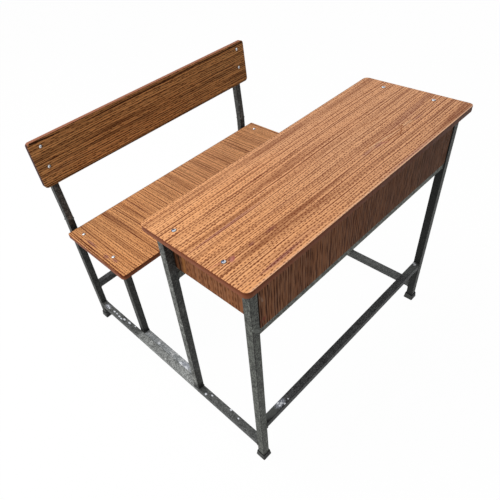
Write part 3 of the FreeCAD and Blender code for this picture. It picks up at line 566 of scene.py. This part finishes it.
low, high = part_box("desktop")
top = Finish("desktop_laminate", shine=0.06)
top_smears = [((-0.325, -0.280), (0.140, 0.0060)), ((-0.277, -0.361), (0.022, 0.0050)),
              ((-0.337, -0.361), (0.012, 0.0050)), ((-0.395, -0.359), (0.012, 0.0070)),
              ((-0.330, -0.433), (0.075, 0.0070)), ((0.130, -0.360), (0.024, 0.0085)),
              ((0.085, -0.356), (0.026, 0.0050)), ((0.305, -0.366), (0.030, 0.0060)),
              ((0.130, -0.445), (0.150, 0.0060))]
FLAME_BROWN = (0.260, 0.070, 0.018)
PRONG_MAUVE = (0.370, 0.110, 0.085)
PRONG_PINK = (0.560, 0.215, 0.165)
top_marks = [(top.x, top.y, *mark) for mark in (
    (((0.100, -0.344), (0.160, -0.3485), (0.229, -0.3565), (0.245, -0.3555)), 0.0022, FLAME_BROWN, 0.75),
    (((0.245, -0.3555), (0.2295, -0.3615), (0.222, -0.3675), (0.208, -0.3730), (0.190, -0.3690),
      (0.160, -0.3665)), 0.0024, FLAME_BROWN, 0.80),
    (((0.105, -0.349), (0.165, -0.3535), (0.224, -0.3605)), 0.0020, PALE_RIM, 0.50),
    (((0.250, -0.3580), (0.280, -0.3600)), 0.0050, PALE_RIM, 0.30),
    (((0.157, -0.3700), (0.133, -0.3560)), 0.0028, PRONG_MAUVE, 0.70),
    (((-0.4036, -0.3690), (-0.386, -0.3580)), 0.0032, PRONG_MAUVE, 0.75),
    (((-0.386, -0.3580), (-0.357, -0.3495)), 0.0020, FLAME_BROWN, 0.50),
    (((-0.398, -0.3640), (-0.390, -0.3575)), 0.0056, PRONG_PINK, 0.75),
    (((-0.386, -0.3575), (-0.397, -0.3700)), 0.0026, PRONG_MAUVE, 0.70),
    (((-0.4166, -0.3500), (-0.444, -0.3450)), 0.0026, PRONG_MAUVE, 0.70),
    (((0.174, -0.2740), (0.250, -0.2860), (0.322, -0.2986)), 0.0026, FLAME_BROWN, 0.60))]
front_rim = 1.0 - (top.y - low.y).step(0.0022, 0.0050)
# The front rim is pale, partly painted highlight on its rounding and partly worn laminate. The face is
# painted darker and pinker towards the right, and the front edge darker towards the right, both as painted
# shade. The face is also darker in a strip along its rear edge.
dress(laminate(top, top.x, top.y, top.z - low.z, high.z - low.z, 2.0, smears=top_smears, marks=top_marks,
               rim_highlight_and_wear=front_rim, painted_far_shade=top.x.step(-0.42, 0.10),
               darker=top.y.step(high.y - 0.0034, high.y - 0.0016) * 0.40,
               darker_edge=top.x.step(-0.44, 0.25) * 0.58), "desktop")

# ---------------------------------------------------------------- seat board
# The same faced board as the top, but cut with its grain running from front to back, so its lines cross
# the bench. It is bolted to the bench's side rails.
SEAT_TEAK = ((0.945, 0.445, 0.180), (0.810, 0.310, 0.098), (0.095, 0.005, 0.000))
low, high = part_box("seat_board")
seat = Finish("seat_laminate", shine=0.06)
seat_smears = [((-0.4200, 0.278), (0.0085, 0.038)), ((-0.4250, 0.186), (0.0100, 0.017)),
               ((-0.4160, 0.150), (0.0070, 0.018))]
seat_shade = (seat.y.step(high.y - 0.0038, high.y - 0.0018) * 0.50).over(
    (1.0 - seat.x.step(-0.42, -0.24)) * 0.12)
# The face is painted darker and pinker towards the right, as painted shade.
dress(laminate(seat, seat.y, seat.x, seat.z - low.z, high.z - low.z, 12.0, SEAT_TEAK, smears=seat_smears,
               line_pitch=0.0112, line=1.0, pitch=0.0074, length=0.0078, gap=1.0, rim=0.20, vein=0.45,
               band=0.12, stain=0.10, painted_far_shade=seat.x.step(-0.35, 0.15) * 0.5, darker=seat_shade), "seat_board")

# ---------------------------------------------------------------- backrest board
# The third faced board, its grain along the bench, bolted to the front of the leaning uprights. A dark
# line of the print wanders along its upper edge.
BACK_TEAK = ((1.000, 0.475, 0.172), (0.790, 0.312, 0.095), (0.055, 0.005, 0.000))
BACK_EDGE = ((0.330, 0.128, 0.070), (0.330, 0.128, 0.070))
LINE_BROWN = (0.050, 0.012, 0.004)
BACK_THICK = 0.017
LEAN = math.radians(4.5)
leg_low, leg_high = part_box("bench_rear_leg_left")
upright_foot_y, upright_foot_z = leg_low.y, leg_high.z


def behind_uprights(finish):
    """How far a point lies behind the front of the leaning uprights."""
    return (finish.y - upright_foot_y) * math.cos(LEAN) - (finish.z - upright_foot_z) * math.sin(LEAN)


def up_uprights(finish):
    """How far a point lies up the slope of the leaning uprights."""
    return (finish.y - upright_foot_y) * math.sin(LEAN) + (finish.z - upright_foot_z) * math.cos(LEAN)


back = Finish("backrest_laminate", shine=0.05)
up_slope = up_uprights(back)
upper_line = (back.x, up_slope, ((-0.438, 0.2905), (-0.340, 0.2850), (-0.196, 0.2818), (0.100, 0.2840),
                                 (0.207, 0.2861), (0.330, 0.2850), (0.440, 0.2872)), 0.0032, LINE_BROWN, 0.90)
back_shade = (back.x.step(-0.30, 0.35) * 0.12).over((1.0 - up_slope.step(0.148, 0.154)) * 0.60).over(
    up_slope.step(0.284, 0.288) * 0.30)
# The line is drawn twice, so that it comes out dense.
dress(laminate(back, back.x, up_slope, 0.0 - behind_uprights(back), BACK_THICK, 27.0, BACK_TEAK,
               marks=(upper_line, upper_line), line_pitch=0.0088, line=1.0, pitch=0.0064, length=0.0180,
               gap=0.30, vein_scale=40, stain=0.20, edge=BACK_EDGE, darker=back_shade,
               dark_ends=abs(back.x).step(0.4440, 0.4460)), "backrest_board")

# ---------------------------------------------------------------- book box
# A front panel, two side panels and a shelf of faced board close the space under the top. The panels'
# grain stands upright, and their darker print has no maroon edge.
PANEL_BROWN = ((0.505, 0.212, 0.098), (0.250, 0.086, 0.044), (0.050, 0.014, 0.007))
SIDE_BROWN = ((0.490, 0.195, 0.082), (0.310, 0.106, 0.043), (0.075, 0.019, 0.006))
PANEL_EDGE = ((0.110, 0.048, 0.028), (0.110, 0.048, 0.028))
CHIPPED_TAN = (0.560, 0.360, 0.260)
SCRAPED_RED = (0.330, 0.075, 0.055)
LIT_GOLD = (0.480, 0.190, 0.030)
DEEP_SHADE = (0.016, 0.010, 0.007)
low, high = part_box("front_panel")
front = Finish("front_panel_laminate", shine=0.02)
front_marks = [(front.x, front.z, ((-0.3990, 0.709), (-0.3840, 0.676)), 0.0040, CHIPPED_TAN, 0.70),
               (front.x, front.z, ((-0.3990, 0.700), (-0.3930, 0.672)), 0.0040, CHIPPED_TAN, 0.45),
               (front.x, front.z, ((-0.3900, 0.617), (-0.3800, 0.619)), 0.0080, SCRAPED_RED, 0.70)]
# Painted shade: the panel darkens towards its right end.
dress(laminate(front, front.z, front.x, high.y - front.y, high.y - low.y, 33.0, PANEL_BROWN,
               marks=front_marks, line_pitch=0.0086, line=0.95, pitch=0.0070, length=0.0560, pore=0.90,
               rim=1.0, vein=0.4, stain=0.15, edge=PANEL_EDGE, darker=front.x.step(-0.32, 0.34) * 0.50),
      "front_panel")
leg_y = desk_leg_foot[1]
for side, seed in (("left", 41.0), ("right", 47.0)):
    low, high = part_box("side_panel_" + side)
    panel = Finish("side_panel_laminate_" + side, shine=0.02)
    outward = high.x - panel.x if side == "left" else panel.x - low.x
    # Beside the rear leg lies a painted shadow of the leg on the panel, and in front of it a golden strip of
    # painted light.
    lit_strip = (panel.y, panel.z, ((leg_y - 0.050, 0.690), (leg_y - 0.043, 0.618)), 0.0080, LIT_GOLD, 0.50)
    shaded = (panel.y, panel.z, ((leg_y - 0.018, 0.750), (leg_y - 0.016, 0.600)), 0.0300, DEEP_SHADE, 0.95)
    dress(laminate(panel, panel.z, panel.y, outward, high.x - low.x, seed, SIDE_BROWN, marks=(lit_strip, shaded),
                   line_pitch=0.0150, line=0.60, pitch=0.0105, length=0.0240, pore=0.75, rim=0.4, vein=0.2,
                   stain=0.15, edge=PANEL_EDGE, darker=panel.z.step(0.650, 0.745) * 0.25),
          "side_panel_" + side)
low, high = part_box("shelf_board")
shelf = Finish("shelf_laminate", shine=0.08)
dress(laminate(shelf, shelf.x, shelf.y, shelf.z - low.z, high.z - low.z, 55.0, SIDE_BROWN,
               edge=PANEL_EDGE), "shelf_board")

# ---------------------------------------------------------------- bolts, nuts and screws
# Twelve M6 bolts with domed, bright zinc plated heads hold the three boards, with plain hexagon nuts
# under the tubes. Smaller dull screws hold the panels and the shelf.
HANDLED_ZINC = ((0.60, 0.61, 0.64), (0.86, 0.87, 0.90))
REFLECTED_BLUE = (0.080, 0.105, 0.165)
DULL_ZINC = ((0.42, 0.42, 0.41), (0.62, 0.62, 0.61))


def bright_zinc(name, height_of, blue=1.0, lit_from=0.0009, lit_at=0.0018, shaded=0.0,
                grime_and_shade=(0.090, 0.090, 0.098)):
    """Bright plating, dirty in patches, with painted shade in the recess and around the rim, and a painted
    dark bluish reflection on one side of the dome. It is bright above a height on the dome, and shaded says
    how much painted shade darkens the dome's right side."""
    bright = Finish(name, shine=0.5)
    handled = bright.speckle(700, 3.0)
    outward = bright.node("ShaderNodeTexCoord", {}, {}, "Normal")
    lean_x, lean_y = (bright.node("ShaderNodeSeparateXYZ", {}, {0: outward}, axis) for axis in (0, 1))
    dirty = bright.speckle(210, 2.0).step(0.52, 0.66)
    # Painted shade below a height on the dome, around the rim and in the recess, and on the dome's right
    # side.
    clean_and_lit = height_of(bright).step(lit_from, lit_at) * (1.0 - dirty * 0.5)
    clean_and_lit = clean_and_lit * (1.0 - lean_x.step(-0.05, 0.40) * shaded)
    plated = bright.mix(handled, *HANDLED_ZINC)
    # Painted reflection: a dark bluish side of the dome, less of it towards the right of the desk.
    dark_reflection = ((lean_y - lean_x) * 0.8 + height_of(bright).step(0.0016, 0.0026) * 0.5).step(0.16, 0.50)
    plated = bright.mix(dark_reflection * (1.0 - bright.x.step(-0.2, 0.2) * 0.7) * blue, plated, REFLECTED_BLUE)
    colour = bright.mix(clean_and_lit, grime_and_shade, plated)
    return bright.finish(colour, 0.36 - clean_and_lit * 0.14 + handled * 0.10, 0.95, handled, depth=0.0001)


top_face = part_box("desktop")[1].z
seat_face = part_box("seat_board")[1].z
dress(bright_zinc("desktop_bolts_zinc", lambda zinc: zinc.z - top_face), "desktop_bolts")
dress(bright_zinc("seat_bolts_zinc", lambda zinc: zinc.z - seat_face, blue=0.0, lit_from=0.0006,
                  lit_at=0.0014, shaded=0.4, grime_and_shade=(0.060, 0.055, 0.045)), "seat_bolts")
dress(bright_zinc("backrest_bolts_zinc", lambda zinc: -BACK_THICK - behind_uprights(zinc), blue=0.0,
                  lit_from=0.0008, lit_at=0.0017, shaded=0.9, grime_and_shade=(0.045, 0.040, 0.026)),
      "backrest_bolts")
dull = Finish("dull_zinc", shine=0.5)
bloom = dull.speckle(500, 3.0)
dull_zinc = dull.finish(dull.mix(bloom, *DULL_ZINC), 0.38 + bloom * 0.22, 0.85 + bloom * 0.1, bloom,
                        depth=0.0001)
dress(dull_zinc, "desktop_nuts", "seat_nuts", "backrest_nuts", "front_panel_screws", "shelf_screws",
      *both_sides("panel_screws"))

# ---------------------------------------------------------------- floor, light and camera
# A plain pale floor and a plain pale room, with soft light from above and behind the bench's left end.
# The camera stands in front of the desk's left end and looks down on it.
FLOOR_SIZE = 40.0
FLOOR_GREY = (0.50, 0.50, 0.50, 1)
WHITE = (1, 1, 1, 1)
FLOOR_GLOW = 1.03
GLOW_SHARE = 0.95
ROOM_LIGHT = 0.30
bpy.ops.mesh.primitive_plane_add(size=FLOOR_SIZE, location=(0, 0, 0))
floor = bpy.context.object
floor.name = "floor"
ground = bpy.data.materials.new("pale_floor")
ground.use_nodes = True
tree = ground.node_tree
tree.nodes.clear()
light_path = tree.nodes.new("ShaderNodeLightPath")


def seen_plainly(in_tree, path):
    """1 for what the camera, a mirror or glass sees, and 0 for light that falls on the object."""
    first = in_tree.nodes.new("ShaderNodeMath")
    first.operation = "MAXIMUM"
    in_tree.links.new(path.outputs["Is Camera Ray"], first.inputs[0])
    in_tree.links.new(path.outputs["Is Glossy Ray"], first.inputs[1])
    second = in_tree.nodes.new("ShaderNodeMath")
    second.operation = "MAXIMUM"
    in_tree.links.new(first.outputs[0], second.inputs[0])
    in_tree.links.new(path.outputs["Is Transmission Ray"], second.inputs[1])
    return second.outputs[0]


matt = tree.nodes.new("ShaderNodeBsdfDiffuse")
matt.inputs["Color"].default_value = FLOOR_GREY
white = tree.nodes.new("ShaderNodeEmission")
white.inputs["Color"].default_value = WHITE
white.inputs["Strength"].default_value = FLOOR_GLOW
part_white = tree.nodes.new("ShaderNodeMath")
part_white.operation = "MULTIPLY"
part_white.inputs[1].default_value = GLOW_SHARE
tree.links.new(seen_plainly(tree, light_path), part_white.inputs[0])
both = tree.nodes.new("ShaderNodeMixShader")
tree.links.new(part_white.outputs[0], both.inputs[0])
tree.links.new(matt.outputs[0], both.inputs[1])
tree.links.new(white.outputs[0], both.inputs[2])
surface = tree.nodes.new("ShaderNodeOutputMaterial")
tree.links.new(both.outputs[0], surface.inputs[0])
floor.data.materials.append(ground)

sky = bpy.data.worlds.new("soft_room")
bpy.context.scene.world = sky
sky.use_nodes = True
tree = sky.node_tree
tree.nodes.clear()
light_path = tree.nodes.new("ShaderNodeLightPath")
level = tree.nodes.new("ShaderNodeMapRange")
level.inputs["To Min"].default_value = ROOM_LIGHT
level.inputs["To Max"].default_value = 1.0
tree.links.new(seen_plainly(tree, light_path), level.inputs["Value"])
glow = tree.nodes.new("ShaderNodeBackground")
glow.inputs["Color"].default_value = WHITE
tree.links.new(level.outputs[0], glow.inputs["Strength"])
surface = tree.nodes.new("ShaderNodeOutputWorld")
tree.links.new(glow.outputs[0], surface.inputs[0])


def soft_light(name, place, aim, size, power):
    lamp = bpy.data.lights.new(name, "AREA")
    lamp.shape = "SQUARE"
    lamp.size = size
    lamp.energy = power
    holder = bpy.data.objects.new(name, lamp)
    bpy.context.scene.collection.objects.link(holder)
    direction = Vector(place) - Vector(aim)
    holder.matrix_world = Matrix.Translation(place) @ direction.to_track_quat("Z", "Y").to_matrix().to_4x4()


soft_light("overhead", (-0.9, 1.1, 3.4), (0, 0, 0.5), 2.6, 78.0)
soft_light("from_left", (-3.2, 0.6, 1.6), (0, 0, 0.4), 1.6, 22.0)

CAMERA_PLACE = Vector((-0.84623, -0.88167, 1.42053))
CAMERA_TURN, CAMERA_RISE, CAMERA_ROLL = (math.radians(angle) for angle in (-37.49, 43.06, -9.22))
SENSOR = 36.0
FRAME_SIDE = 500.0
FOCAL_LENGTH = 477.42 / FRAME_SIDE
CENTRE_X, CENTRE_Y = 210.55, 256.87
back_axis = Vector((math.sin(CAMERA_TURN) * math.cos(CAMERA_RISE),
                    -math.cos(CAMERA_TURN) * math.cos(CAMERA_RISE), math.sin(CAMERA_RISE)))
level_axis = Vector((math.cos(CAMERA_TURN), math.sin(CAMERA_TURN), 0))
upright_axis = back_axis.cross(level_axis)
right_axis = level_axis * math.cos(CAMERA_ROLL) + upright_axis * math.sin(CAMERA_ROLL)
up_axis = upright_axis * math.cos(CAMERA_ROLL) - level_axis * math.sin(CAMERA_ROLL)
lens = bpy.data.cameras.new("camera")
lens.sensor_width = SENSOR
lens.lens = SENSOR * FOCAL_LENGTH
lens.shift_x = (FRAME_SIDE / 2 - CENTRE_X) / FRAME_SIDE
lens.shift_y = (CENTRE_Y - FRAME_SIDE / 2) / FRAME_SIDE
camera = bpy.data.objects.new("camera", lens)
camera.matrix_world = Matrix.Translation(CAMERA_PLACE) @ Matrix(
    (right_axis, up_axis, back_axis)).transposed().to_4x4()
bpy.context.scene.collection.objects.link(camera)
bpy.context.scene.camera = camera
bpy.context.scene.view_settings.view_transform = "Standard"
